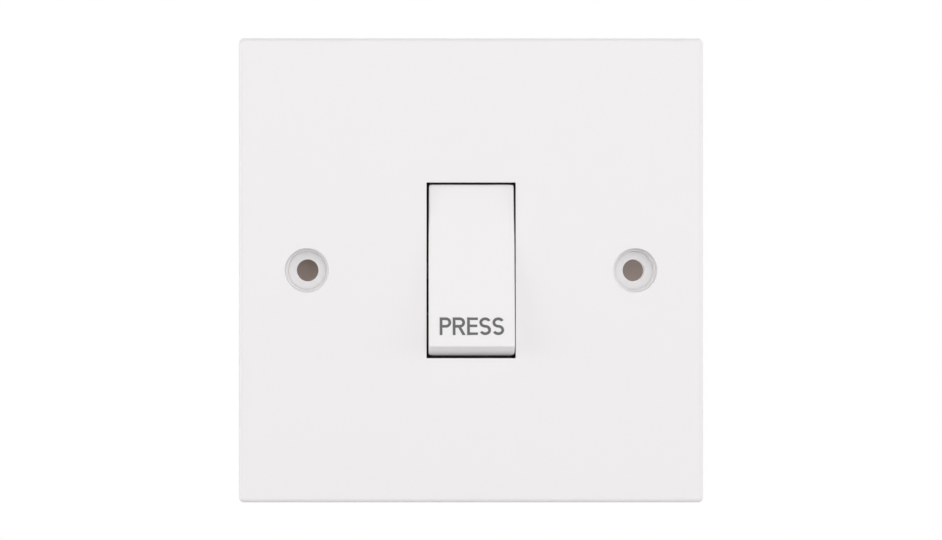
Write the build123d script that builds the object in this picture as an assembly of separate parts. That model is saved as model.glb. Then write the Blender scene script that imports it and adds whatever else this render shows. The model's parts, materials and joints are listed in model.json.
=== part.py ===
from build123d import *
import math
import os

# A single-gang wall switch with one spring-return rocker, in millimetres.
# X is to the right and Z is up, seen from the room. The room side faces -Y.
# The wall plane, on which the plate's rear rim lies, is y = 0.

# Front plate
plate_side = 86.0
plate_depth = 7.5
plate_draft = 0.4
plate_corner_radius = 0.9
plate_edge_radius = 0.8
front_wall = 2.6
side_wall = 2.3
rim_corner_radius = 1.6
rib_thickness = 1.3
gusset_length = 5.0
gusset_height = 3.0
locating_rib_height = 1.6

# Fixing holes for the two box screws
fixing_spacing = 60.3
fixing_hole_radius = 2.05
fixing_boss_wall = 1.9
counterbore_ledge = 0.42
counterbore_depth = 2.2
counterbore_lip_radius = 0.12
head_seat_radius = 3.6
head_seat_taper = 0.15
head_seat_depth = 3.7

# Gaps round the rocker in its opening
opening_side_gap = 0.31
opening_end_gap = 0.775
opening_back_end_gap = 0.545
opening_side_flare = 0.1
rocker_side_play = 0.08

# Rocker
rocker_width = 15.75
rocker_end_radius = 16.5
rocker_face_height = 6.96
rocker_skirt_height = 0.8
rocker_face_wall = 1.6
rocker_side_wall = 1.2
rocker_edge_radius = 0.3
rocker_rest_tilt = 7.6
pivot_depth = 6.03
trunnion_radius = 1.5
trunnion_clearance = 0.06
trunnion_end_gap = 0.48
trunnion_eye_wall = 1.2
bearing_gap = 0.48
bearing_thickness = 1.6
well_wall_end_gap = 0.15
web_thickness = 1.2

# Legend printed on the rocker's lower end
legend_height = 3.25
legend_stroke = 0.5
legend_gap = 0.28
legend_print_thickness = 0.05
legend_end_margin = 2.1
letter_p_width = 2.11
letter_r_width = 2.35
letter_e_width = 1.96
letter_s_width = 2.12

# Plunger and its spring, inside the rocker's tube
tube_wall = 1.14
tube_reach = 3.5
tube_end_wall = 1.16
plunger_radius = 2.0
plunger_clearance = 0.06
plunger_body_top = 1.0
plunger_foot_recess = 0.5
plunger_nose_radius = 1.4
plunger_gap = 0.25
plunger_spring_inset = 0.52
plunger_spring_wire = 0.18
plunger_spring_turns = 5
plunger_spring_end_gap = 0.05

# Moving contact, which rocks on the common saddle
contact_pivot_distance = 9.0
contact_rest_tilt = 6.0
contact_strip_width = 5.0
contact_strip_thickness = 0.8
contact_end_margin = 1.4
contact_corner_radius = 1.25
contact_pin_radius = 0.6
contact_pin_clearance = 0.05
contact_pin_overhang = 1.1
contact_pin_root = 0.9
tip_radius = 1.6
tip_base = 0.3
tip_dome = 0.5
contact_gap = 0.05
tip_shank_radius = 0.9
fixed_tip_thickness = 0.8

# Saddle, contact strips and terminal blocks
saddle_cheek_gap = 0.2
saddle_cheek_thickness = 0.8
saddle_cheek_half_height = 1.6
saddle_cheek_lip = 0.3
saddle_foot_half_height = 2.4
saddle_leg_gap = 0.7
saddle_leg_width = 3.2
strip_thickness = 0.8
strip_width = 3.6
strip_end_overhang = 2.2
terminal_size_x = 7.0
terminal_size_z = 7.0
terminal_screw_wall = 3.1
terminal_clearance = 0.08
terminal_edge_chamfer = 0.4
wire_hole_radius = 2.0
wire_hole_end_wall = 1.5
wire_hole_front_wall = 0.9

# Screws
terminal_screw_radius = 1.6
terminal_screw_clearance = 0.06
terminal_screw_head_radius = 2.75
terminal_screw_head_height = 1.9
terminal_screw_stand_off = 0.3
terminal_screw_edge = 0.35
case_screw_radius = 1.25
case_screw_clearance = 0.05
case_screw_head_radius = 2.5
case_screw_head_height = 1.7
case_screw_length = 5.6
case_screw_pilot_end = 0.7
screw_slot_width = 0.9
screw_slot_depth = 0.8

# Moulded case behind the plate
case_wall = 1.6
case_screw_head_recess = 0.5
case_corner_radius = 1.2
case_end_gap = 0.8
partition_thickness = 1.6
partition_clearance = 0.1
partition_front = 1.6
slot_clearance = 0.2
pocket_rib_thickness = 1.2
pocket_rib_setback = 1.2
wire_entry_clearance = 0.5
screwdriver_clearance = 0.35
lug_wall = 2.15
lug_thickness = 2.0
lug_reach = 4.5
lug_boss_wall = 1.7
lug_hole_clearance = 0.2
fit_gap = 0.15
keeper_clearance = 0.12

# Terminal marks sunk in the back of the case
mark_height = 2.8
mark_width = 1.7
mark_stroke = 0.4
mark_gap = 0.6
mark_margin = 0.8
mark_depth = 0.25

# Return spring under the rocker's lower end
return_spring_radius = 1.7
return_spring_wire = 0.22
return_spring_turns = 8
return_spring_seat_gap = 0.05
return_spring_top_gap = 0.3
return_spring_end_margin = 5.5
spring_cup_clearance = 0.38
spring_cup_wall = 0.5
spring_cup_depth = 1.5
spring_ledge_front = 2.0
spring_ledge_gap = 0.4
spring_stub_clearance = 0.68
spring_stub_length = 1.2
core_out_wall = 1.6

# How far a boss or wall runs into the one that carries it, and a cut past a face
root_overlap = 0.5
cut_past = 1.0

# Spring and contact places, from the rocker's end inwards
return_spring_axis = rocker_end_radius - return_spring_end_margin
spring_cup_radius = return_spring_radius + return_spring_wire + spring_cup_clearance
spring_ledge_top = return_spring_axis - spring_cup_radius - spring_cup_wall
strip_outer_edge = spring_ledge_top - spring_ledge_gap
tip_offset = strip_outer_edge - strip_width / 2

# Levels along Y that follow from the sizes above
face_y = -plate_depth
inner_face_y = face_y + front_wall
pivot_y = face_y + pivot_depth
contact_pivot_y = pivot_y + contact_pivot_distance
half_strip = contact_strip_thickness / 2
tilt = math.radians(contact_rest_tilt)
dome_radius = (tip_radius**2 + tip_dome**2) / (2 * tip_dome)
dome_centre = half_strip + tip_base + tip_dome - dome_radius
dome_reach = dome_centre * math.cos(tilt) + tip_offset * math.sin(tilt) + dome_radius
fixed_tip_y = contact_pivot_y + dome_reach + contact_gap
strip_front_y = fixed_tip_y + fixed_tip_thickness
floor_y = strip_front_y + strip_thickness
case_back_y = floor_y + terminal_screw_head_height + case_screw_head_recess
terminal_depth = wire_hole_front_wall + 2 * wire_hole_radius + terminal_screw_wall
terminal_front_y = strip_front_y - terminal_depth
wire_axis_y = terminal_front_y + wire_hole_front_wall + wire_hole_radius
well_wall_back_y = partition_front - partition_clearance

# Places across X and Z that follow from the sizes above
rocker_half_width = rocker_width / 2
rocker_inner_face = rocker_face_height - rocker_face_wall
rocker_face_half = math.sqrt(rocker_end_radius**2 - rocker_face_height**2)
opening_width = rocker_width + 2 * opening_side_gap
end_at_face = math.sqrt(rocker_end_radius**2 - pivot_depth**2)
end_at_inner_face = math.sqrt(rocker_end_radius**2 - (pivot_depth - front_wall)**2)
opening_half_height = end_at_face + opening_end_gap
opening_back_half_height = end_at_inner_face + opening_back_end_gap
trunnion_bore = trunnion_radius + trunnion_clearance
trunnion_length = bearing_gap + bearing_thickness - trunnion_end_gap
lug_pilot_radius = case_screw_radius + case_screw_clearance
bearing_inner_x = rocker_half_width + bearing_gap
bearing_outer_x = bearing_inner_x + bearing_thickness
partition_outer_x = bearing_inner_x + partition_thickness
terminal_inner_x = partition_outer_x + terminal_clearance
terminal_outer_x = terminal_inner_x + terminal_size_x
terminal_x = (terminal_inner_x + terminal_outer_x) / 2
screwdriver_hole = terminal_screw_head_radius + screwdriver_clearance
cavity_half_width = terminal_outer_x + terminal_clearance
case_half_width = cavity_half_width + case_wall
cavity_half_height = rocker_end_radius + case_end_gap
well_wall_half_height = cavity_half_height - well_wall_end_gap
case_half_height = cavity_half_height + case_wall
lug_centre = case_half_height + lug_reach
plate_inner_half = plate_side / 2 - side_wall
counterbore_radius = head_seat_radius + counterbore_ledge
fixing_boss_radius = counterbore_radius + fixing_boss_wall
saddle_leg_x = contact_strip_width / 2 + saddle_cheek_gap + saddle_cheek_thickness + saddle_leg_gap
terminal_sites = {"l1": (1, 1), "l2": (1, -1), "common": (-1, -1)}


def block(x0, x1, y0, y1, z0, z1):
    """A box between two corners."""
    middle = ((x0 + x1) / 2, (y0 + y1) / 2, (z0 + z1) / 2)
    return Pos(*middle) * Box(abs(x1 - x0), abs(y1 - y0), abs(z1 - z0))


def rod_y(x, z, radius, y0, y1):
    """A round rod along Y."""
    return Pos(x, (y0 + y1) / 2, z) * Rot(90, 0, 0) * Cylinder(radius, abs(y1 - y0))


def rod_x(y, z, radius, x0, x1):
    """A round rod along X."""
    return Pos((x0 + x1) / 2, y, z) * Rot(0, 90, 0) * Cylinder(radius, abs(x1 - x0))


def section(width, height, y, corner=0.0):
    """A rectangle across Y, with round corners where they are asked for."""
    outline = RectangleRounded(width, height, corner) if corner else Rectangle(width, height)
    return Plane(origin=(0, y, 0), x_dir=(1, 0, 0), z_dir=(0, -1, 0)) * outline


def turned(points, x=0.0, z=0.0):
    """A round shape about an axis along Y, from its (radius, y) outline."""
    profile = make_face(Polyline(*[(r, y) for r, y in points], close=True))
    return Pos(x, 0, z) * revolve(profile, Axis.Y, 360)


def coil(x, z, y0, y1, radius, wire, turns):
    """A helical spring along Y between two planes."""
    height = abs(y1 - y0) - 2 * wire
    path = Helix(pitch=height / turns, height=height, radius=radius)
    profile = Plane(origin=path @ 0, z_dir=path % 0) * Circle(wire)
    spring = sweep(profile, path=path, is_frenet=True)
    return Pos(x, max(y0, y1) - wire, z) * Rot(90, 0, 0) * spring


def on_rocker(shape):
    """Places a shape drawn about the rocker's pivot as the rocker rests."""
    return Pos(rocker_side_play, pivot_y, 0) * Rot(-rocker_rest_tilt, 0, 0) * shape


def on_contact(shape):
    """Places a shape drawn about the contact's pivot as the contact rests."""
    return Pos(0, contact_pivot_y, 0) * Rot(contact_rest_tilt, 0, 0) * shape


def plate_shell():
    """The plate's square shell, open at the back, with a rounded front edge."""
    front_side = plate_side - 2 * plate_draft
    outer = loft([section(plate_side, plate_side, 0, plate_corner_radius + plate_draft / 4),
                  section(front_side, front_side, face_y, plate_corner_radius)])
    front_face = outer.faces().sort_by(Axis.Y)[0]
    outer = fillet(front_face.edges(), plate_edge_radius)
    rim_inside = 2 * plate_inner_half
    floor_inside = rim_inside - 2 * plate_draft
    hollow = loft([section(rim_inside, rim_inside, 0, rim_corner_radius),
                   section(floor_inside, floor_inside, inner_face_y, rim_corner_radius)])
    return outer - hollow


def plate_bosses():
    """Fixing bosses with gussets, screw bosses for the case and its locating rib."""
    added = []
    gusset_y = inner_face_y + gusset_height
    for side in (-1, 1):
        x = side * fixing_spacing / 2
        start_y = inner_face_y - root_overlap
        added.append(rod_y(x, 0, fixing_boss_radius, start_y, 0))
        reach = fixing_boss_radius + gusset_length
        half = rib_thickness / 2
        added.append(block(x - half, x + half, start_y, gusset_y, -reach, reach))
        outward = plate_inner_half * side
        added.append(block(x, outward, start_y, gusset_y, -half, half))
        added.append(rod_y(0, side * lug_centre, lug_pilot_radius + lug_boss_wall, start_y, 0))
    frame_x = case_half_width + fit_gap
    frame_z = case_half_height + fit_gap
    frame_y = inner_face_y + locating_rib_height
    outside = block(-frame_x - rib_thickness, frame_x + rib_thickness,
                    inner_face_y - root_overlap, frame_y,
                    -frame_z - rib_thickness, frame_z + rib_thickness)
    inside = block(-frame_x, frame_x, face_y, 0, -frame_z, frame_z)
    added.append(outside - inside)
    return added


def plate_well_walls():
    """The well's two side walls, slotted from behind for the rocker's trunnions."""
    walls = []
    for side in (-1, 1):
        x0 = side * bearing_inner_x
        x1 = side * bearing_outer_x
        wall = block(x0, x1, inner_face_y - root_overlap, well_wall_back_y,
                     -well_wall_half_height, well_wall_half_height)
        wall -= rod_x(pivot_y, 0, trunnion_bore, x0, x1)
        wall -= block(x0, x1, pivot_y, well_wall_back_y, -trunnion_bore, trunnion_bore)
        walls.append(wall)
    return walls


def fixing_hole(x):
    """The stepped counterbore and through hole for one box screw."""
    ahead = face_y - cut_past
    lip_y = face_y + counterbore_depth
    floor = face_y + head_seat_depth
    return turned([(0, ahead), (counterbore_radius, ahead),
                   (counterbore_radius, lip_y), (head_seat_radius, lip_y),
                   (head_seat_radius - head_seat_taper, floor), (fixing_hole_radius, floor),
                   (fixing_hole_radius, cut_past), (0, cut_past)], x)


def rocker_opening():
    """The opening through the front wall, wider at the back for the swinging ends."""
    slope = (opening_back_half_height - opening_half_height) / front_wall
    side_slope = opening_side_flare / front_wall
    front = section(opening_width - 2 * side_slope * cut_past,
                    2 * (opening_half_height - slope * cut_past), face_y - cut_past)
    back = section(opening_width + 2 * opening_side_flare,
                   2 * opening_back_half_height, inner_face_y)
    return loft([front, back])


def front_plate():
    """The moulded front plate."""
    plate = plate_shell()
    plate += plate_bosses()
    plate -= rocker_opening()
    for side in (-1, 1):
        plate -= fixing_hole(side * fixing_spacing / 2)
        plate -= rod_y(0, side * lug_centre, lug_pilot_radius,
                       inner_face_y + case_screw_pilot_end, 0)
    plate += plate_well_walls()
    lips = [e for e in plate.edges().filter_by(GeomType.CIRCLE)
            if abs(e.radius - counterbore_radius) < 1e-3 and abs(e.center().Y - face_y) < 1e-3]
    return fillet(lips, counterbore_lip_radius)


def rocker_profile(face, skirt, radius):
    """Side outline of the rocker about its pivot, with ends on an arc."""
    face_half = math.sqrt(radius**2 - face**2)
    skirt_half = math.sqrt(radius**2 - skirt**2)
    middle = (math.atan2(face_half, face) + math.atan2(skirt_half, skirt)) / 2
    mid_point = (radius * math.cos(middle), radius * math.sin(middle))
    outline = [Line((-face, -face_half), (-face, face_half)),
               ThreePointArc((-face, face_half), (-mid_point[0], mid_point[1]),
                             (-skirt, skirt_half)),
               Line((-skirt, skirt_half), (-skirt, -skirt_half)),
               ThreePointArc((-skirt, -skirt_half), (-mid_point[0], -mid_point[1]),
                             (-face, -face_half))]
    return make_face(outline)


def rocker():
    """The rocker shell with its tube, webs, eyes, trunnions and spring stub."""
    profile = rocker_profile(rocker_face_height, rocker_skirt_height, rocker_end_radius)
    body = extrude(Plane.YZ * profile, rocker_half_width, both=True)
    skirt_edges = body.faces().sort_by(Axis.Y)[-1].edges()
    rounded = [edge for edge in body.edges() if edge not in skirt_edges]
    body = fillet(rounded, rocker_edge_radius)
    hollow = rocker_profile(rocker_inner_face, 0, rocker_end_radius - rocker_side_wall)
    inner_x = rocker_half_width - rocker_side_wall
    body -= extrude(Plane.YZ * hollow, inner_x, both=True)
    root_y = -rocker_inner_face - root_overlap
    tube_bore = plunger_radius + plunger_clearance
    added = [rod_y(0, 0, tube_bore + tube_wall, root_y, tube_reach)]
    added.append(block(-inner_x - root_overlap, inner_x + root_overlap, root_y,
                       -rocker_skirt_height, -web_thickness / 2, web_thickness / 2))
    for side in (-1, 1):
        eye_radius = trunnion_radius + trunnion_eye_wall
        added.append(rod_x(0, 0, eye_radius, side * inner_x, side * rocker_half_width))
        trunnion_end = rocker_half_width + trunnion_length
        added.append(rod_x(0, 0, trunnion_radius, side * inner_x, side * trunnion_end))
    stub_radius = return_spring_radius - return_spring_wire - spring_stub_clearance
    added.append(rod_y(0, -return_spring_axis, stub_radius,
                       root_y, -rocker_inner_face + spring_stub_length))
    body += added
    body -= rod_y(0, 0, tube_bore, -rocker_inner_face + tube_end_wall, tube_reach)
    return on_rocker(body)


def bowl_letter(width):
    """A stem with a round bowl at its top, as in P and R."""
    radius = legend_height * 0.29
    top = legend_height
    stem = Pos(legend_stroke / 2, top / 2) * Rectangle(legend_stroke, top)
    reach = width - radius
    outer = Pos(reach / 2, top - radius) * Rectangle(reach, 2 * radius)
    outer += Pos(reach, top - radius) * Circle(radius)
    inner_radius = radius - legend_stroke
    inner = Pos(reach / 2, top - radius) * Rectangle(reach, 2 * inner_radius)
    inner += Pos(reach, top - radius) * Circle(inner_radius)
    return stem + (outer - inner)


def letter_p():
    """The letter P."""
    return bowl_letter(letter_p_width)


def letter_r():
    """The letter R: a P with a slanting leg."""
    waist = legend_height * 0.44
    foot_x = letter_r_width - legend_stroke * 1.15
    knee_x = letter_r_width * 0.42
    leg = make_face(Polyline((foot_x, 0), (letter_r_width, 0),
                             (knee_x + legend_stroke * 1.1, waist), (knee_x, waist), close=True))
    return bowl_letter(letter_r_width - 0.1) + leg


def letter_e():
    """The letter E."""
    shape = Pos(legend_stroke / 2, legend_height / 2) * Rectangle(legend_stroke, legend_height)
    half = legend_stroke / 2
    for level in (half, legend_height * 0.52, legend_height - half):
        arm = letter_e_width - (0.12 if half < level < legend_height - legend_stroke else 0)
        shape += Pos(arm / 2, level) * Rectangle(arm, legend_stroke * 0.92)
    return shape


def letter_s():
    """The letter S: two open bows on one centre line."""
    across = (letter_s_width - legend_stroke) / 2
    up = (legend_height - legend_stroke) / 4
    middle_x = letter_s_width / 2
    middle_y = legend_height / 2
    sweep_angle = 245
    upper = EllipticalCenterArc((middle_x, middle_y + up), across, up, 25, arc_size=sweep_angle)
    lower = EllipticalCenterArc((middle_x, middle_y - up), across, up, -155, arc_size=sweep_angle)
    return trace([upper, lower], line_width=legend_stroke)


def press_legend():
    """The printed word on the rocker's lower end, one thin solid a letter."""
    letters = [(letter_p, letter_p_width), (letter_r, letter_r_width),
               (letter_e, letter_e_width), (letter_s, letter_s_width),
               (letter_s, letter_s_width)]
    total = sum(width for _, width in letters) + legend_gap * (len(letters) - 1)
    x = -total / 2
    z = legend_end_margin - rocker_face_half
    face = Plane(origin=(0, -rocker_face_height, 0), x_dir=(1, 0, 0), z_dir=(0, -1, 0))
    solids = []
    for shape, width in letters:
        sketch = face * Pos(x, z) * shape()
        solids += on_rocker(extrude(sketch, legend_print_thickness)).solids()
        x += width + legend_gap
    return Compound(children=solids)


def plunger_tip_distance():
    """Distance from the rocker's pivot to the centre of the plunger's round tip."""
    swing = math.radians(rocker_rest_tilt + contact_rest_tilt)
    clear = contact_pivot_distance * math.cos(tilt) - half_strip - plunger_nose_radius
    return (clear - plunger_gap) / math.cos(swing)


def plunger():
    """The sprung nylon plunger that tips the moving contact."""
    tip = plunger_tip_distance()
    body_foot = tube_reach - plunger_foot_recess
    shape = rod_y(0, 0, plunger_radius, -plunger_body_top, body_foot)
    shape += rod_y(0, 0, plunger_nose_radius, 0, tip)
    shape += Pos(0, tip, 0) * Sphere(plunger_nose_radius)
    return on_rocker(shape)


def plunger_spring():
    """The small coil between the tube's closed end and the plunger."""
    radius = plunger_radius - plunger_spring_inset - plunger_spring_wire
    top = -rocker_inner_face + tube_end_wall + plunger_spring_end_gap
    foot = -plunger_body_top - plunger_spring_end_gap
    return on_rocker(coil(0, 0, top, foot, radius, plunger_spring_wire, plunger_spring_turns))


def moving_contact():
    """The springy copper strip, with side pins that rock in the saddle."""
    half_width = contact_strip_width / 2
    half_length = tip_offset + contact_end_margin
    strip = block(-half_width, half_width, -half_strip, half_strip, -half_length, half_length)
    strip = fillet(strip.edges().filter_by(Axis.Y), contact_corner_radius)
    pin_end = half_width + contact_pin_overhang
    pin_root = half_width - contact_pin_root
    for side in (-1, 1):
        strip += rod_x(0, 0, contact_pin_radius, side * pin_root, side * pin_end)
        strip -= rod_y(0, side * tip_offset, tip_shank_radius, -half_strip, half_strip)
    return on_contact(strip)


def moving_tip(side):
    """One domed silver rivet on the moving contact."""
    base_y = half_strip + tip_base
    shape = rod_y(0, 0, tip_radius, half_strip, base_y)
    dome = Pos(0, dome_centre, 0) * Sphere(dome_radius)
    shape += dome & rod_y(0, 0, tip_radius, base_y, base_y + tip_dome)
    shape += rod_y(0, 0, tip_shank_radius, -half_strip, half_strip)
    return on_contact(Pos(0, 0, side * tip_offset) * shape)


def common_saddle():
    """The folded brass saddle that carries the moving contact, with its tail."""
    half_width = contact_strip_width / 2
    cheek_x0 = half_width + saddle_cheek_gap
    cheek_x1 = cheek_x0 + saddle_cheek_thickness
    leg_x = -saddle_leg_x - saddle_leg_width
    foot = saddle_foot_half_height
    low = -strip_outer_edge
    shape = block(leg_x, cheek_x1, strip_front_y, floor_y, -foot, foot)
    shape += block(leg_x, -saddle_leg_x, strip_front_y, floor_y, low, foot)
    shape += block(-terminal_outer_x, leg_x + root_overlap, strip_front_y, floor_y,
                   low, low + strip_width)
    notch = contact_pin_radius + contact_pin_clearance
    top_y = contact_pivot_y - saddle_cheek_lip
    for side in (-1, 1):
        cheek = block(side * cheek_x0, side * cheek_x1, top_y, floor_y,
                      -saddle_cheek_half_height, saddle_cheek_half_height)
        cheek -= rod_x(contact_pivot_y, 0, notch, side * cheek_x0, side * cheek_x1)
        cheek -= block(side * cheek_x0, side * cheek_x1, top_y, contact_pivot_y, -notch, notch)
        shape += cheek
    return shape - tail_hole("common")


def tail_hole(name):
    """The hole in a strip's tail that the terminal screw passes through."""
    side, up = terminal_sites[name]
    radius = terminal_screw_radius + 2 * terminal_screw_clearance
    return rod_y(side * terminal_x, up * tip_offset, radius, strip_front_y, floor_y)


def contact_strip(name):
    """A flat brass strip from a terminal to below its end of the moving contact."""
    side, up = terminal_sites[name]
    middle = up * tip_offset
    shape = block(-side * strip_end_overhang, side * terminal_outer_x, strip_front_y, floor_y,
                  middle - strip_width / 2, middle + strip_width / 2)
    shape -= rod_y(0, middle, tip_shank_radius, strip_front_y, floor_y)
    return shape - tail_hole(name)


def fixed_tip(name):
    """The flat silver rivet that the moving contact meets."""
    up = terminal_sites[name][1]
    shape = rod_y(0, up * tip_offset, tip_radius, fixed_tip_y, strip_front_y)
    return shape + rod_y(0, up * tip_offset, tip_shank_radius, strip_front_y, floor_y)


def terminal_block(name):
    """A brass block with a wire hole from the side and a tapped hole from behind."""
    side, up = terminal_sites[name]
    z = up * tip_offset
    half_z = terminal_size_z / 2
    shape = block(side * terminal_inner_x, side * terminal_outer_x,
                  terminal_front_y, strip_front_y, z - half_z, z + half_z)
    shape = chamfer(shape.edges().filter_by(Axis.X), terminal_edge_chamfer)
    shape -= rod_x(wire_axis_y, z, wire_hole_radius,
                   side * (terminal_inner_x + wire_hole_end_wall), side * terminal_outer_x)
    tapped = terminal_screw_radius + terminal_screw_clearance
    return shape - rod_y(side * terminal_x, z, tapped, wire_axis_y, strip_front_y)


def terminal_screws():
    """The three slotted terminal screws, seen through the back of the case."""
    solids = []
    for side, up in terminal_sites.values():
        x = side * terminal_x
        z = up * tip_offset
        tip_y = wire_axis_y + wire_hole_radius + terminal_screw_stand_off
        head_y = floor_y + terminal_screw_head_height
        shape = rod_y(x, z, terminal_screw_radius, tip_y, floor_y)
        head = rod_y(x, z, terminal_screw_head_radius, floor_y, head_y)
        head = chamfer(head.edges().group_by(Axis.Y)[-1], terminal_screw_edge)
        shape += head
        slot = block(-screw_slot_width / 2, screw_slot_width / 2,
                     head_y - screw_slot_depth, head_y,
                     -terminal_screw_head_radius, terminal_screw_head_radius)
        angle = 35 * side + 20 * up
        shape -= Pos(x, 0, z) * Rot(0, angle, 0) * slot
        solids += shape.solids()
    return Compound(children=solids)


def case_screws():
    """The two cross-recessed screws that hold the case to the plate."""
    solids = []
    for up in (-1, 1):
        z = up * lug_centre
        head_y = lug_thickness + case_screw_head_height
        tip_y = lug_thickness - case_screw_length
        shape = rod_y(0, z, case_screw_radius, tip_y, lug_thickness)
        head = rod_y(0, z, case_screw_head_radius, lug_thickness, head_y)
        head = fillet(head.edges().group_by(Axis.Y)[-1], case_screw_head_height * 0.55)
        shape += head
        for angle in (30, 120):
            slot = block(-screw_slot_width / 2, screw_slot_width / 2,
                         head_y - screw_slot_depth, head_y,
                         -case_screw_head_radius * 0.55, case_screw_head_radius * 0.55)
            shape -= Pos(0, 0, z) * Rot(0, angle, 0) * slot
        solids += shape.solids()
    return Compound(children=solids)


def case_shell():
    """The case's outer box and lugs, hollow towards the plate."""
    box = block(-case_half_width, case_half_width, inner_face_y, case_back_y,
                -case_half_height, case_half_height)
    box = fillet(box.edges().filter_by(Axis.Y), case_corner_radius)
    box -= block(-cavity_half_width, cavity_half_width, inner_face_y, floor_y,
                 -cavity_half_height, cavity_half_height)
    lug_hole = case_screw_radius + lug_hole_clearance
    lug_radius = lug_hole + lug_wall
    for up in (-1, 1):
        lug = block(-lug_radius, lug_radius, 0, lug_thickness,
                    up * (case_half_height - case_wall / 2), up * lug_centre)
        lug += rod_y(0, up * lug_centre, lug_radius, 0, lug_thickness)
        box += lug - rod_y(0, up * lug_centre, lug_hole, 0, lug_thickness)
    return box


def case_partitions():
    """The walls between the contacts and the terminals, which also trap the trunnions."""
    walls = []
    inner = bearing_inner_x
    reach = cavity_half_height
    tongue = trunnion_bore - keeper_clearance
    for side in (-1, 1):
        wall = block(side * inner, side * partition_outer_x, partition_front, floor_y,
                     -reach, reach)
        wall += block(side * inner, side * partition_outer_x, pivot_y + trunnion_bore,
                      floor_y, -tongue, tongue)
        for name, (site_side, up) in terminal_sites.items():
            if site_side == side:
                middle = up * tip_offset
                half = strip_width / 2 + slot_clearance
                wall -= block(side * inner, side * partition_outer_x,
                              partition_front, floor_y, middle - half, middle + half)
        walls += wall.solids()
    return walls


def case_pockets():
    """The ribs that hold each terminal block above and below."""
    ribs = []
    for side, up in terminal_sites.values():
        middle = up * tip_offset
        half = terminal_size_z / 2 + terminal_clearance
        for edge in (-1, 1):
            near = middle + edge * half
            far = near + edge * pocket_rib_thickness
            ribs.append(block(side * (partition_outer_x - root_overlap),
                              side * (cavity_half_width + root_overlap),
                              terminal_front_y + pocket_rib_setback, floor_y, near, far))
    return ribs


def spring_ledge():
    """The block at the lower end that seats the return spring."""
    inner = bearing_inner_x + root_overlap
    ledge = block(-inner, inner, spring_ledge_front, floor_y,
                  -cavity_half_height, -spring_ledge_top)
    cup_y = spring_ledge_front + spring_cup_depth
    return ledge - rod_y(0, -return_spring_axis, spring_cup_radius, spring_ledge_front, cup_y)


def mark_shapes():
    """The outlines of the characters used in the terminal marks."""
    half = mark_width / 2
    top = mark_height
    hook = CenterArc((half, top - half), half, -30, 200)
    return {
        "L": [Polyline((0, top), (0, 0), (mark_width, 0))],
        "1": [Polyline((half * 0.4, top * 0.8), (half, top), (half, 0))],
        "2": [hook, Polyline(hook @ 0, (0, 0), (mark_width, 0))],
        "C": [EllipticalCenterArc((half, top / 2), half, top / 2, 50, arc_size=260)],
        "O": [EllipticalCenterArc((half, top / 2), half, top / 2, 0, arc_size=180),
              EllipticalCenterArc((half, top / 2), half, top / 2, 180, arc_size=180)],
        "M": [Polyline((0, 0), (0, top), (half, top * 0.35), (mark_width, top), (mark_width, 0))],
    }


def terminal_marks():
    """The sunk terminal marks on the back of the case, beside the screws."""
    shapes = mark_shapes()
    words = {"l1": "L1", "l2": "L2", "common": "COM"}
    marks = []
    for name, (side, up) in terminal_sites.items():
        word = words[name]
        length = len(word) * mark_width + (len(word) - 1) * mark_gap
        near = terminal_x - screwdriver_hole - mark_margin
        centre = side * (near - length / 2)
        level = up * tip_offset - mark_height / 2
        face = Plane(origin=(centre + length / 2, case_back_y, level),
                     x_dir=(-1, 0, 0), z_dir=(0, 1, 0))
        for place, letter in enumerate(word):
            outline = trace(shapes[letter], line_width=mark_stroke)
            sketch = face * Pos(place * (mark_width + mark_gap), 0) * outline
            marks += extrude(sketch, amount=mark_depth, both=True).solids()
    return marks


def switch_case():
    """The moulded case that holds the contacts and closes the rocker in."""
    case = case_shell()
    case += case_partitions()
    case += case_pockets()
    case += spring_ledge()
    core_front = spring_ledge_front + spring_cup_depth + core_out_wall
    inner = bearing_inner_x - core_out_wall
    case -= block(-inner, inner, core_front, case_back_y,
                  -cavity_half_height + core_out_wall, -spring_ledge_top - core_out_wall)
    wire_entry = wire_hole_radius + wire_entry_clearance
    for side, up in terminal_sites.values():
        z = up * tip_offset
        case -= rod_y(side * terminal_x, z, screwdriver_hole, floor_y, case_back_y)
        case -= rod_x(wire_axis_y, z, wire_entry,
                      side * cavity_half_width, side * case_half_width)
    for mark in terminal_marks():
        case -= mark
    return case


def return_spring():
    """The coil that pushes the rocker's lower end out again."""
    seat_y = spring_ledge_front + spring_cup_depth - return_spring_seat_gap
    angle = math.radians(rocker_rest_tilt)
    along = (return_spring_axis + rocker_inner_face * math.sin(angle)) / math.cos(angle)
    underside = pivot_y - rocker_inner_face * math.cos(angle) - along * math.sin(angle)
    return coil(0, -return_spring_axis, underside + return_spring_top_gap, seat_y,
                return_spring_radius, return_spring_wire, return_spring_turns)


nodes = {
    "front_plate": front_plate(),
    "rocker": rocker(),
    "press_legend": press_legend(),
    "plunger": plunger(),
    "plunger_spring": plunger_spring(),
    "return_spring": return_spring(),
    "moving_contact": moving_contact(),
    "upper_moving_tip": moving_tip(1),
    "lower_moving_tip": moving_tip(-1),
    "common_saddle": common_saddle(),
    "common_terminal": terminal_block("common"),
    "l1_terminal": terminal_block("l1"),
    "l1_contact_strip": contact_strip("l1"),
    "l1_contact_tip": fixed_tip("l1"),
    "l2_terminal": terminal_block("l2"),
    "l2_contact_strip": contact_strip("l2"),
    "l2_contact_tip": fixed_tip("l2"),
    "terminal_screws": terminal_screws(),
    "switch_case": switch_case(),
    "case_screws": case_screws(),
}

os.makedirs("parts", exist_ok=True)
for name, shape in nodes.items():
    export_step(shape, f"parts/{name}.step")
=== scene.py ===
import json
import math

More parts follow.
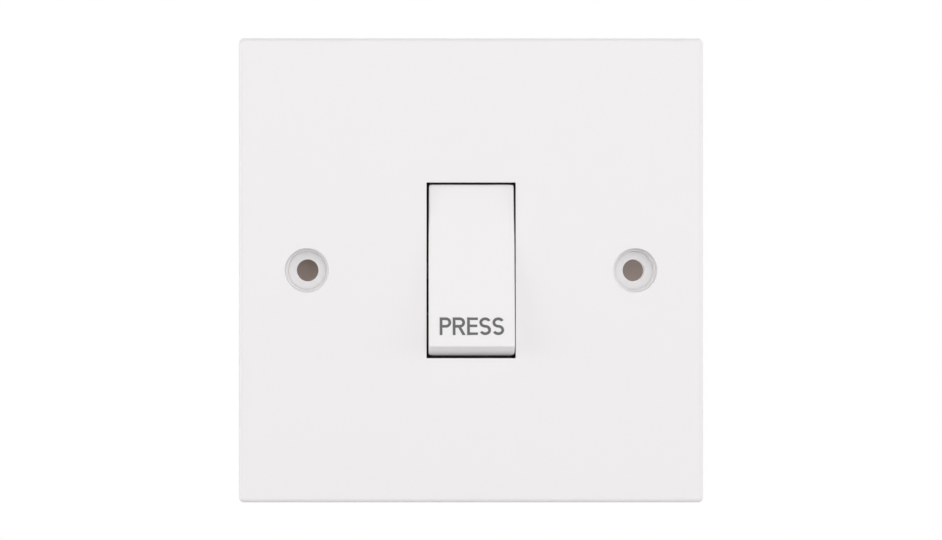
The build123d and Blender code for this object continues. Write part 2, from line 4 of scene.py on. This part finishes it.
import bpy
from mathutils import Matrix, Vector


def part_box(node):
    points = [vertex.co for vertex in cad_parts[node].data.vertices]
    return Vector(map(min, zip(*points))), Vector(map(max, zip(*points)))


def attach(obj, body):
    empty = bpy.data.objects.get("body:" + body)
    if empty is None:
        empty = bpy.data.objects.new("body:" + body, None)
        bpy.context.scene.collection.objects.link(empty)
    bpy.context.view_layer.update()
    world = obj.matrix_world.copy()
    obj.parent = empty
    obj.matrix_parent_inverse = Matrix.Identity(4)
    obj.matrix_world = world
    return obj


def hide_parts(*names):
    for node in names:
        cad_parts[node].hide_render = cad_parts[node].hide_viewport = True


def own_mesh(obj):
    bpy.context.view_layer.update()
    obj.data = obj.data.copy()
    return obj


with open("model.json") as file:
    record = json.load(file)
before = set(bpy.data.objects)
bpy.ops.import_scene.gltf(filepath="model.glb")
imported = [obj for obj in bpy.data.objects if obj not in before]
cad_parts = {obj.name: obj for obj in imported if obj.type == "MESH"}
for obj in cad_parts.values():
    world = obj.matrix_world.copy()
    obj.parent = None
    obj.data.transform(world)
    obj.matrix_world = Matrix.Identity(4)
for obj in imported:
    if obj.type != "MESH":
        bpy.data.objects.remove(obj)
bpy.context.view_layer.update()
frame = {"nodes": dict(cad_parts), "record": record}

# Sizes in metres, in the frame's axes: X right, Z up, the room side at -Y
MM = 0.001
face_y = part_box("front_plate")[0].y

# The photograph's view: pixels to a millimetre on the plate's face, and where its middle lies.
# The shift is a share of the picture's width, and puts the camera to the left of the middle.
image_width = 942
image_height = 540
pixels_per_mm = 5.448
plate_middle_px = (471.1, 270.35)
camera_distance = 0.55
camera_shift = 0.0875
sensor_width = 36.0

# Painted shade that the two open fixing holes look onto: a small glowing disc behind each,
# in fixed shade tones. Tones are sRGB, 0 to 255, and each hole has one for the lower part of
# its opening and one for the upper part, which is darker.
fixing_spacing = 60.3 * MM
hole_opening_radius = 2.0 * MM
hole_backing_radius = 3.0 * MM
hole_backing_y = 0.1 * MM
hole_backing_points = 32
painted_shade_tones = {"left": ((134, 121, 115), (106, 94, 89)),
              "right": ((141, 128, 122), (128, 116, 111))}
wall_noise_scale = 400.0
wall_shade_foot = -0.3
wall_shade_top = 0.5

# The mottling of every finish: its scale, and the noise at which its two tones are reached
mottle_scale = 60.0
mottle_low = 0.3
mottle_high = 0.7

# Painted shade in narrow gaps, crevices and bores: how a colour falls off into a narrow gap, as
# pairs of the share of open space over a point and the share of the colour that is left there.
# The reach is how far off a surface still counts.
gap_samples = 16
gap_reach = 1.2 * MM
plate_shade_fall = ((0.16, 0.03), (0.42, 0.92), (0.72, 1.0))
rocker_shade_fall = ((0.27, 0.02), (0.45, 0.95), (0.54, 1.0))
wire_hole_reach = 5.0 * MM
wire_hole_shade_fall = ((0.06, 0.22), (0.6, 1.0))

# Strength of the world's light straight from below and from above, and the floor under it
light_below = 1.5
light_above = 0.38
floor_reach = 2.5
floor_level = -0.3
floor_tone = 0.65

# Each lamp's place and size in metres, and its power in watts
lamps = {
    "key": ((0.15, -1.7, 0.15), 1.4, 8.9),
    "left_side": ((-1.35, -0.42, 0.15), 0.8, 4.3),
    "right_side": ((1.35, -0.42, 0.15), 0.8, 3.5),
    "rear_fill": ((0.5, 1.3, 0.6), 1.0, 3.0),
}

# Springs: open turns, radius to the middle of the wire and radius of the wire, and the small
# spring's length and tilt
return_spring_turns = 8
return_spring_radius = 1.7 * MM
return_spring_wire = 0.22 * MM
plunger_spring_turns = 5
plunger_spring_radius = 1.3 * MM
plunger_spring_wire = 0.18 * MM
plunger_spring_length = 3.1 * MM
plunger_tilt = math.radians(7.6)


def linear(value):
    """One sRGB channel, 0 to 255, as linear light."""
    c = value / 255
    return c / 12.92 if c <= 0.04045 else ((c + 0.055) / 1.055) ** 2.4


def colour(red, green, blue):
    """An sRGB colour, 0 to 255, as linear RGBA."""
    return (linear(red), linear(green), linear(blue), 1.0)


class Nodes:
    """The node tree of a material or a world, emptied, with short calls to add and join nodes."""

    def __init__(self, owner):
        owner.use_nodes = True
        self.owner = owner
        self.tree = owner.node_tree
        self.tree.nodes.clear()

    def add(self, kind, **values):
        """A new node with the values of its settings and inputs, where _ stands for a space."""
        node = self.tree.nodes.new(kind)
        for key, value in values.items():
            if hasattr(node, key):
                setattr(node, key, value)
            else:
                node.inputs[key.replace("_", " ")].default_value = value
        return node

    def link(self, source, target):
        self.tree.links.new(source, target)


def material_nodes(name):
    """The empty node tree of a new material."""
    return Nodes(bpy.data.materials.new(name))


def finish_material(n, shader):
    """Joins the last shader to the material's output, and gives the material."""
    output = n.add("ShaderNodeOutputMaterial")
    n.link(shader.outputs[0], output.inputs["Surface"])
    return n.owner


def surface(name, tone, vary, roughness, rough_vary=0.05, grain=0.3, bump=0.02,
            metallic=0.0, stretch=(1, 1, 1), gap=None, reach=gap_reach):
    """A procedural finish: mottled colour, uneven gloss and a fine bump, with painted shade in gaps
    when gap is given.

    tone is the middle colour in sRGB, 0 to 255, and vary the share that it wanders by. grain is
    the size of the finest marks in millimetres and bump their depth in millimetres.
    """
    base = colour(*tone)
    n = material_nodes(name)
    coords = n.add("ShaderNodeTexCoord")
    mapping = n.add("ShaderNodeMapping")
    mapping.inputs["Scale"].default_value = stretch
    n.link(coords.outputs["Object"], mapping.inputs["Vector"])
    broad = n.add("ShaderNodeTexNoise", Scale=mottle_scale, Detail=3.0, Roughness=0.5)
    fine = n.add("ShaderNodeTexNoise", Scale=1.0 / (grain * MM), Detail=4.0, Roughness=0.6)
    for noise in (broad, fine):
        n.link(mapping.outputs["Vector"], noise.inputs["Vector"])
    ramp = n.add("ShaderNodeValToRGB")
    low = tuple(max(0.0, c * (1 - vary)) for c in base[:3]) + (1.0,)
    high = tuple(min(1.0, c * (1 + vary)) for c in base[:3]) + (1.0,)
    ramp.color_ramp.elements[0].position = mottle_low
    ramp.color_ramp.elements[0].color = low
    ramp.color_ramp.elements[1].position = mottle_high
    ramp.color_ramp.elements[1].color = high
    both = n.add("ShaderNodeMath", operation="ADD")
    mean = n.add("ShaderNodeMath", operation="MULTIPLY")
    mean.inputs[1].default_value = 0.5
    n.link(broad.outputs["Fac"], both.inputs[0])
    n.link(fine.outputs["Fac"], both.inputs[1])
    n.link(both.outputs[0], mean.inputs[0])
    n.link(mean.outputs[0], ramp.inputs["Fac"])
    tint = ramp.outputs["Color"]
    gloss = n.add("ShaderNodeMapRange")
    gloss.inputs["To Min"].default_value = roughness - rough_vary
    gloss.inputs["To Max"].default_value = roughness + rough_vary
    n.link(fine.outputs["Fac"], gloss.inputs["Value"])
    dullness = gloss.outputs["Result"]
    # painted shade: the colour is darkened and dulled where surfaces lie close, as in gaps
    if gap is not None:
        tint, dullness = painted_gap_shade(n, tint, dullness, gap, reach)
    relief = n.add("ShaderNodeBump", Strength=0.5, Distance=bump * MM)
    n.link(fine.outputs["Fac"], relief.inputs["Height"])
    shader = n.add("ShaderNodeBsdfPrincipled")
    shader.inputs["Metallic"].default_value = metallic
    n.link(tint, shader.inputs["Base Color"])
    n.link(dullness, shader.inputs["Roughness"])
    n.link(relief.outputs["Normal"], shader.inputs["Normal"])
    return finish_material(n, shader)


def painted_gap_shade(n, tint, dullness, falls, reach):
    """Paints shade into a finish where another surface lies close against it, as in a gap, and
    dulls it there.
    """
    near = n.add("ShaderNodeAmbientOcclusion", samples=gap_samples)
    near.inputs["Distance"].default_value = reach
    depth = n.add("ShaderNodeFloatCurve")
    curve = depth.mapping.curves[0]
    curve.points[0].location = (0.0, falls[0][1])
    curve.points[1].location = (1.0, 1.0)
    for share, left in falls:
        curve.points.new(share, left).handle_type = "VECTOR"
    depth.mapping.update()
    n.link(near.outputs["AO"], depth.inputs["Value"])
    shade = n.add("ShaderNodeMix", data_type="RGBA", blend_type="MULTIPLY")
    shade.inputs["Factor"].default_value = 1.0
    n.link(tint, shade.inputs["A"])
    n.link(depth.outputs["Value"], shade.inputs["B"])
    matt = n.add("ShaderNodeMath", operation="SUBTRACT")
    matt.inputs[0].default_value = 1.0
    n.link(depth.outputs["Value"], matt.inputs[1])
    rough = n.add("ShaderNodeMath", operation="MAXIMUM")
    n.link(dullness, rough.inputs[0])
    n.link(matt.outputs[0], rough.inputs[1])
    return shade.outputs["Result"], rough.outputs[0]


def background_factor(n):
    """One for what the camera, a gloss reflection or a clear surface sees, else nought."""
    path = n.add("ShaderNodeLightPath")
    first = n.add("ShaderNodeMath", operation="MAXIMUM")
    second = n.add("ShaderNodeMath", operation="MAXIMUM")
    n.link(path.outputs["Is Camera Ray"], first.inputs[0])
    n.link(path.outputs["Is Glossy Ray"], first.inputs[1])
    n.link(first.outputs[0], second.inputs[0])
    n.link(path.outputs["Is Transmission Ray"], second.inputs[1])
    return second.outputs[0]


def make_world(low, high):
    """White where it is looked at, and elsewhere a light that runs from low below to high above."""
    world = bpy.data.worlds.new("studio")
    bpy.context.scene.world = world
    n = Nodes(world)
    output = n.add("ShaderNodeOutputWorld")
    coords = n.add("ShaderNodeTexCoord")
    split = n.add("ShaderNodeSeparateXYZ")
    n.link(coords.outputs["Generated"], split.inputs[0])
    strength = n.add("ShaderNodeMapRange")
    strength.inputs["From Min"].default_value = -1.0
    strength.inputs["From Max"].default_value = 1.0
    strength.inputs["To Min"].default_value = low
    strength.inputs["To Max"].default_value = high
    n.link(split.outputs["Z"], strength.inputs["Value"])
    seen = n.add("ShaderNodeBackground", Color=(1, 1, 1, 1), Strength=1.0)
    light = n.add("ShaderNodeBackground", Color=(1.0, 0.995, 0.99, 1))
    n.link(strength.outputs["Result"], light.inputs["Strength"])
    mix = n.add("ShaderNodeMixShader")
    n.link(background_factor(n), mix.inputs["Fac"])
    n.link(light.outputs[0], mix.inputs[1])
    n.link(seen.outputs[0], mix.inputs[2])
    n.link(mix.outputs[0], output.inputs["Surface"])


def stage_sheet(name, corners):
    """A flat stage sheet with the given corners."""
    mesh = bpy.data.meshes.new(name)
    mesh.from_pydata(corners, [], [tuple(range(len(corners)))])
    sheet = bpy.data.objects.new(name, mesh)
    bpy.context.collection.objects.link(sheet)
    return sheet


def make_floor():
    """A pale floor well below the switch, which hangs clear of it as on a wall."""
    corners = ((-1, -1), (1, -1), (1, 1), (-1, 1))
    floor = stage_sheet("floor", [(x * floor_reach, y * floor_reach, floor_level)
                                  for x, y in corners])
    n = material_nodes("floor_white")
    matt = n.add("ShaderNodeBsdfDiffuse", Color=(floor_tone, floor_tone, floor_tone, 1))
    white = n.add("ShaderNodeEmission", Color=(1, 1, 1, 1), Strength=1.0)
    mix = n.add("ShaderNodeMixShader")
    n.link(background_factor(n), mix.inputs["Fac"])
    n.link(matt.outputs[0], mix.inputs[1])
    n.link(white.outputs[0], mix.inputs[2])
    floor.data.materials.append(finish_material(n, mix))


def painted_wall_shade(name, low, high):
    """Painted shade behind a fixing hole: a glow in fixed shade tones, darker towards the top,
    which shows only from the room side.
    """
    n = material_nodes(name)
    coords = n.add("ShaderNodeTexCoord")
    noise = n.add("ShaderNodeTexNoise", Scale=wall_noise_scale, Detail=2.0)
    n.link(coords.outputs["Object"], noise.inputs["Vector"])
    split = n.add("ShaderNodeSeparateXYZ")
    n.link(coords.outputs["Object"], split.inputs[0])
    height = n.add("ShaderNodeMapRange")
    height.inputs["From Min"].default_value = -hole_opening_radius
    height.inputs["From Max"].default_value = hole_opening_radius
    height.inputs["To Min"].default_value = wall_shade_foot
    height.inputs["To Max"].default_value = wall_shade_top
    n.link(split.outputs["Z"], height.inputs["Value"])
    shade = n.add("ShaderNodeMath", operation="ADD")
    n.link(height.outputs["Result"], shade.inputs[0])
    n.link(noise.outputs["Fac"], shade.inputs[1])
    ramp = n.add("ShaderNodeValToRGB")
    ramp.color_ramp.elements[0].color = colour(*low)
    ramp.color_ramp.elements[1].color = colour(*high)
    n.link(shade.outputs[0], ramp.inputs["Fac"])
    glow = n.add("ShaderNodeEmission", Strength=1.0)
    n.link(ramp.outputs["Color"], glow.inputs["Color"])
    geometry = n.add("ShaderNodeNewGeometry")
    clear = n.add("ShaderNodeBsdfTransparent")
    sides = n.add("ShaderNodeMixShader")
    n.link(geometry.outputs["Backfacing"], sides.inputs["Fac"])
    n.link(glow.outputs[0], sides.inputs[1])
    n.link(clear.outputs[0], sides.inputs[2])
    return finish_material(n, sides)


def make_painted_hole_shades():
    """Painted shade that each open fixing hole looks onto: a small glowing disc behind the plate's
    boss.
    """
    for side, hole_x in (("left", -fixing_spacing / 2), ("right", fixing_spacing / 2)):
        name = "painted_hole_shade_" + side
        ring = []
        for step in range(hole_backing_points):
            angle = 2 * math.pi * step / hole_backing_points
            ring.append((hole_x + hole_backing_radius * math.cos(angle), hole_backing_y,
                         hole_backing_radius * math.sin(angle)))
        disc = stage_sheet(name, ring)
        disc.data.materials.append(painted_wall_shade(name, *painted_shade_tones[side]))
        disc.visible_diffuse = False
        disc.visible_glossy = False
        disc.visible_transmission = False
        disc.visible_shadow = False


def make_lamp(name, place, size, power):
    """A large soft lamp aimed at the middle of the switch."""
    data = bpy.data.lights.new(name, "AREA")
    data.shape = "SQUARE"
    data.size = size
    data.energy = power
    lamp = bpy.data.objects.new(name, data)
    bpy.context.collection.objects.link(lamp)
    lamp.location = place
    lamp.rotation_mode = "QUATERNION"
    lamp.rotation_quaternion = (-Vector(place)).to_track_quat("-Z", "Y")


def make_camera():
    """Looks straight along +Y at the plate, from a little to its left as the photograph does."""
    data = bpy.data.cameras.new("camera")
    camera = bpy.data.objects.new("camera", data)
    bpy.context.collection.objects.link(camera)
    axis_px = (image_width * (0.5 - camera_shift), image_height / 2)
    x = (axis_px[0] - plate_middle_px[0]) / pixels_per_mm * MM
    z = (plate_middle_px[1] - axis_px[1]) / pixels_per_mm * MM
    camera.location = (x, face_y - camera_distance, z)
    camera.rotation_euler = (math.radians(90), 0, 0)
    data.sensor_width = sensor_width
    data.lens = sensor_width * pixels_per_mm * camera_distance / MM / image_width
    data.shift_x = camera_shift
    data.clip_start = 0.01
    data.clip_end = 20
    bpy.context.scene.camera = camera


# Every finish by its material slot, with one more beside them for the brass strips inside the
# case: a duller brass whose darker tone is painted shade
finishes = {
    # plate_plastic, rocker_plastic and brass have painted shade in their narrow gaps and bores
    "plate_plastic": dict(tone=(238, 236, 237), vary=0.004, roughness=0.32, grain=0.25,
                          bump=0.002, gap=plate_shade_fall),
    "rocker_plastic": dict(tone=(239, 237, 238), vary=0.003, roughness=0.34, rough_vary=0.02,
                           bump=0.0005, gap=rocker_shade_fall),
    "legend_ink": dict(tone=(95, 95, 97), vary=0.08, roughness=0.5, grain=0.12, bump=0.004),
    "nylon": dict(tone=(226, 222, 208), vary=0.02, roughness=0.38, grain=0.2, bump=0.005),
    "spring_steel": dict(tone=(196, 196, 194), vary=0.05, roughness=0.25, grain=0.1, bump=0.003,
                         metallic=1.0),
    "copper_alloy": dict(tone=(205, 140, 105), vary=0.08, roughness=0.3, bump=0.004,
                         metallic=1.0, stretch=(1, 1, 0.12)),
    "silver": dict(tone=(226, 224, 220), vary=0.04, roughness=0.28, grain=0.2, bump=0.003,
                   metallic=1.0),
    "brass": dict(tone=(214, 184, 112), vary=0.06, roughness=0.3, bump=0.006, metallic=1.0,
                  stretch=(0.15, 1, 1), gap=wire_hole_shade_fall, reach=wire_hole_reach),
    # painted shade: brass darkened for the strips that sit in the shade inside the case
    "shaded_strip_brass": dict(tone=(92, 78, 52), vary=0.1, roughness=0.6, bump=0.006, metallic=1.0),
    "screw_brass": dict(tone=(210, 182, 116), vary=0.06, roughness=0.27, grain=0.15, bump=0.004,
                        metallic=1.0),
    "case_plastic": dict(tone=(58, 58, 61), vary=0.07, roughness=0.42, grain=0.35, bump=0.012),
    "screw_steel": dict(tone=(188, 190, 194), vary=0.05, roughness=0.3, grain=0.15, bump=0.004,
                        metallic=1.0),
}
dull_shaded_strips = ("common_saddle", "l1_contact_strip", "l2_contact_strip")


def dress_nodes(materials):
    """Gives every CAD node the finish of its slot, with the strips inside the case in a duller
    brass whose darker tone is painted shade.
    """
    slots = {part["node"]: part["material_slot"] for part in frame["record"]["subparts"]}
    for name in dull_shaded_strips:
        slots[name] = "shaded_strip_brass"
    for name, node in frame["nodes"].items():
        node.data.materials.clear()
        node.data.materials.append(materials[slots[name]])


def coil_mesh(name, turns, radius, wire, length, around=36, sides=10):
    """A wound spring along Z from 0 to its length, with a closed and flattened turn at each end."""
    closed = 2 * wire
    rings = int((turns + 2) * around)
    verts = []
    for i in range(rings + 1):
        turn = i / around
        if turn < 1:
            rise = wire + closed * turn * turn * 0.5
        elif turn > turns + 1:
            left = turns + 2 - turn
            rise = length - wire - closed * left * left * 0.5
        else:
            rise = wire + closed * 0.5 + (length - 2 * wire - closed) * (turn - 1) / turns
        angle = 2 * math.pi * turn
        out = Vector((math.cos(angle), math.sin(angle), 0))
        middle = out * radius + Vector((0, 0, rise))
        for j in range(sides):
            around_wire = 2 * math.pi * j / sides
            verts.append(middle + out * (wire * math.cos(around_wire))
                         + Vector((0, 0, wire * math.sin(around_wire))))
    faces = []
    for i in range(rings):
        for j in range(sides):
            k = (j + 1) % sides
            faces.append((i * sides + j, i * sides + k, (i + 1) * sides + k, (i + 1) * sides + j))
    faces.append(tuple(range(sides - 1, -1, -1)))
    faces.append(tuple(rings * sides + j for j in range(sides)))
    mesh = bpy.data.meshes.new(name)
    mesh.from_pydata(verts, [], faces)
    mesh.shade_smooth()
    return mesh


def make_spring(node, mesh, start, along, body, material):
    """A spring in place of its CAD node, fixed to the given body."""
    spring = bpy.data.objects.new(mesh.name, mesh)
    bpy.context.collection.objects.link(spring)
    turn = Vector((0, 0, 1)).rotation_difference(along)
    for vertex in mesh.vertices:
        vertex.co = turn @ vertex.co + start
    mesh.materials.append(material)
    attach(spring, body)
    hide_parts(node)
    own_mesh(spring)


def make_springs(material):
    """The return spring on its ledge, and the small spring in the rocker's tube."""
    low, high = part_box("return_spring")
    coil = coil_mesh("return_spring_coil", return_spring_turns, return_spring_radius,
                     return_spring_wire, high.y - low.y)
    seat = Vector(((low.x + high.x) / 2, high.y, (low.z + high.z) / 2))
    make_spring("return_spring", coil, seat, Vector((0, -1, 0)), "housing",
                material)

    low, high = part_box("plunger_spring")
    coil = coil_mesh("plunger_spring_coil", plunger_spring_turns, plunger_spring_radius,
                     plunger_spring_wire, plunger_spring_length)
    along = Vector((0, math.cos(plunger_tilt), -math.sin(plunger_tilt)))
    start = (low + high) / 2 - along * (plunger_spring_length / 2)
    make_spring("plunger_spring", coil, start, along, "rocker_body",
                material)


bpy.context.scene.view_settings.view_transform = "Standard"
make_camera()
make_world(light_below, light_above)
make_floor()
make_painted_hole_shades()
for lamp_name, (place, size, power) in lamps.items():
    make_lamp(lamp_name, place, size, power)
materials = {name: surface(name, **finish) for name, finish in finishes.items()}
dress_nodes(materials)
make_springs(materials["spring_steel"])
